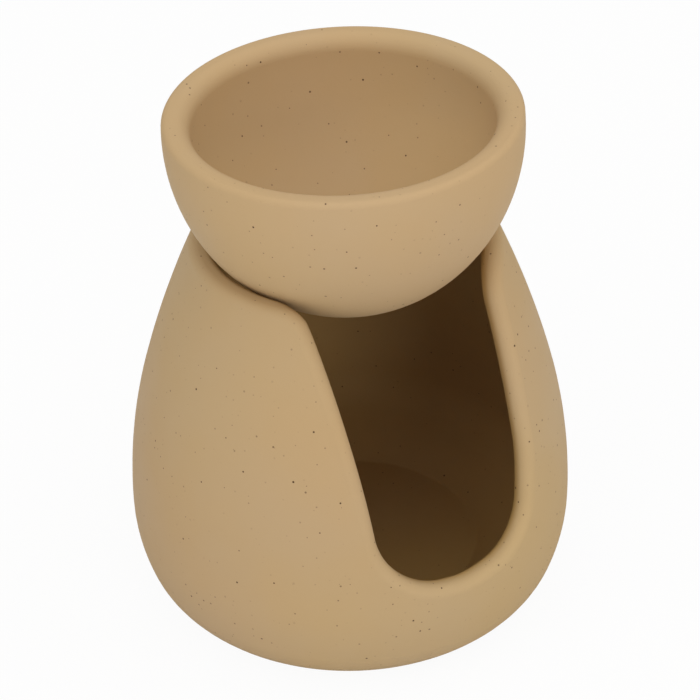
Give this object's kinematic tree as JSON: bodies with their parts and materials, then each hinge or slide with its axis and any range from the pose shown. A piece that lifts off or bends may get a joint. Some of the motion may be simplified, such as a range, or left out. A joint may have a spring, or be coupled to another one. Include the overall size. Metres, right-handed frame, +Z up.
{
  "type": "essential oil burner",
  "caption": "Egg-shaped speckled stoneware oil burner with an open front for a tealight and a loose round bowl that rests on its rim.",
  "frame": {"origin": "centre of the underside, on the surface that the burner stands on", "axes": "+Z up along the turned body's axis; -Y out of the middle of the tealight opening; +X to the right as seen from the opening"},
  "size_m": [0.1, 0.1, 0.1204],
  "materials": {
    "base_clay": "matt sand-coloured stoneware with fine dark brown speckle",
    "bowl_clay": "matt sand-coloured stoneware with fine dark brown speckle"
  },
  "bodies": {
    "base": {"burner_base": "base_clay"},
    "bowl": {"oil_bowl": "bowl_clay"}
  },
  "joints": [
    {"name": "bowl_lift", "type": "slide", "parent": "base", "child": "bowl", "axis": [0, 0, 1], "range_m": [0, 0.06]}
  ]
}
